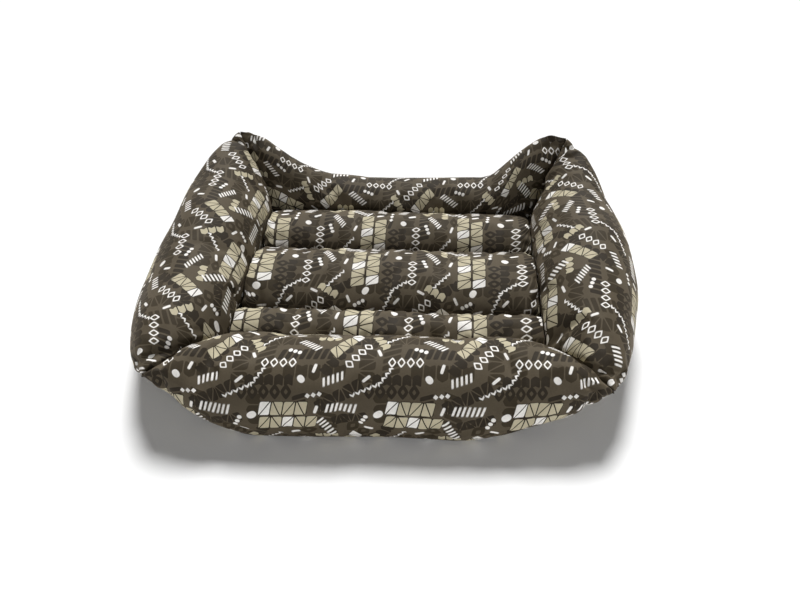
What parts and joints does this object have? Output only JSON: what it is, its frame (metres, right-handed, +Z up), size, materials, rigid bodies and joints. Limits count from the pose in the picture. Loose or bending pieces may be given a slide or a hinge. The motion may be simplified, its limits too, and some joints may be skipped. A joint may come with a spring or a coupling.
{
  "type": "dog sofa bed",
  "caption": "Low rectangular dog sofa bed: stuffed bolsters round a nest, peaked rear corners, a lower entrance side, and a loose channel-quilted cushion that lifts out.",
  "frame": {"origin": "centre of the bed's footprint, on the floor", "axes": "+X across the bed to its right as seen from the entrance, +Y from the entrance to the rear bolster, +Z up"},
  "size_m": [0.7428, 0.5736, 0.1788],
  "materials": {
    "print_cloth": "smooth printed woven cloth",
    "lining_cloth": "plain woven cloth",
    "base_cloth": "coarse non-slip woven cloth",
    "seam_thread": "matte polyester thread and tape",
    "fibre_filling": "soft polyester fibre"
  },
  "bodies": {
    "bed": {"base_sheet": "base_cloth", "base_binding": "seam_thread", "base_lining": "lining_cloth", "base_stitches": "seam_thread", "front_bolster_cover": "print_cloth", "rear_bolster_cover": "print_cloth", "left_bolster_cover": "print_cloth", "right_bolster_cover": "print_cloth", "front_bolster_filling": "fibre_filling", "rear_bolster_filling": "fibre_filling", "left_bolster_filling": "fibre_filling", "right_bolster_filling": "fibre_filling", "front_left_corner_seam": "seam_thread", "front_right_corner_seam": "seam_thread", "rear_left_corner_seam": "seam_thread", "rear_right_corner_seam": "seam_thread"},
    "seat_cushion": {"seat_top_panel": "print_cloth", "seat_bottom_panel": "lining_cloth", "seat_edge_seam": "seam_thread", "seat_front_filling": "fibre_filling", "seat_middle_filling": "fibre_filling", "seat_rear_filling": "fibre_filling", "seat_front_quilting": "seam_thread", "seat_rear_quilting": "seam_thread"}
  },
  "joints": [
    {"name": "seat_lift", "type": "slide", "parent": "bed", "child": "seat_cushion", "axis": [0, 0, 1], "range_m": [0, 0.25]}
  ]
}
